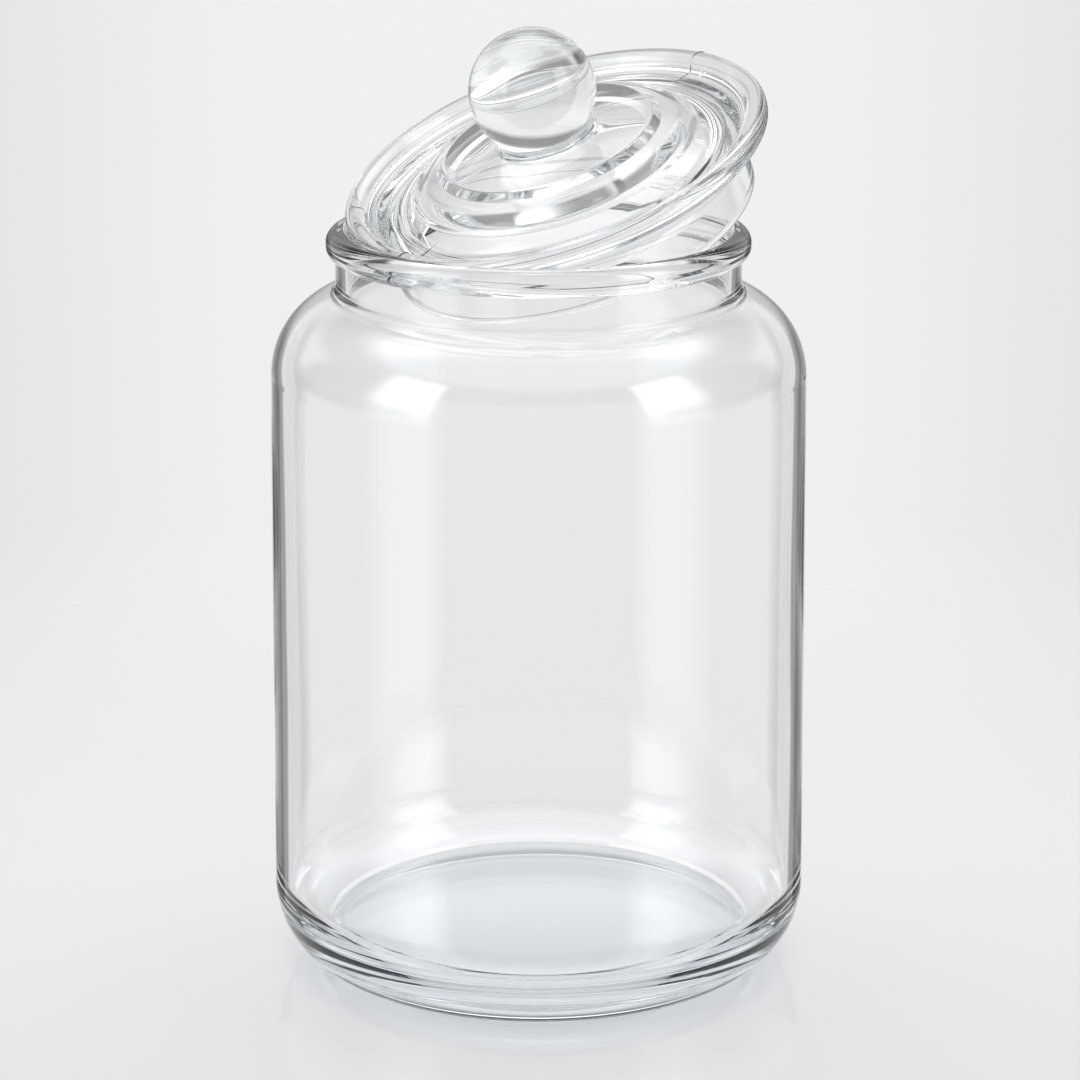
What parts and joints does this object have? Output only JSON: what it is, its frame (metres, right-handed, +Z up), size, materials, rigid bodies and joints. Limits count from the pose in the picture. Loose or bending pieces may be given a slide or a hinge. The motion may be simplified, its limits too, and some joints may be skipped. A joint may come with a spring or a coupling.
{
  "type": "glass storage jar",
  "caption": "Round clear glass storage jar with a wide mouth, rounded shoulder and beaded rim, its loose ball-knob glass lid lying askew in the mouth.",
  "frame": {"origin": "centre of the bearing ring, on the jar's axis, at the level it stands on", "axes": "+Z up along the jar's axis; the loose lid is lowest towards -X -Y"},
  "size_m": [0.1544, 0.1544, 0.2724],
  "materials": {
    "glass": "polished"
  },
  "bodies": {
    "root": {"jar": "glass", "lid": "glass"}
  },
  "joints": []
}
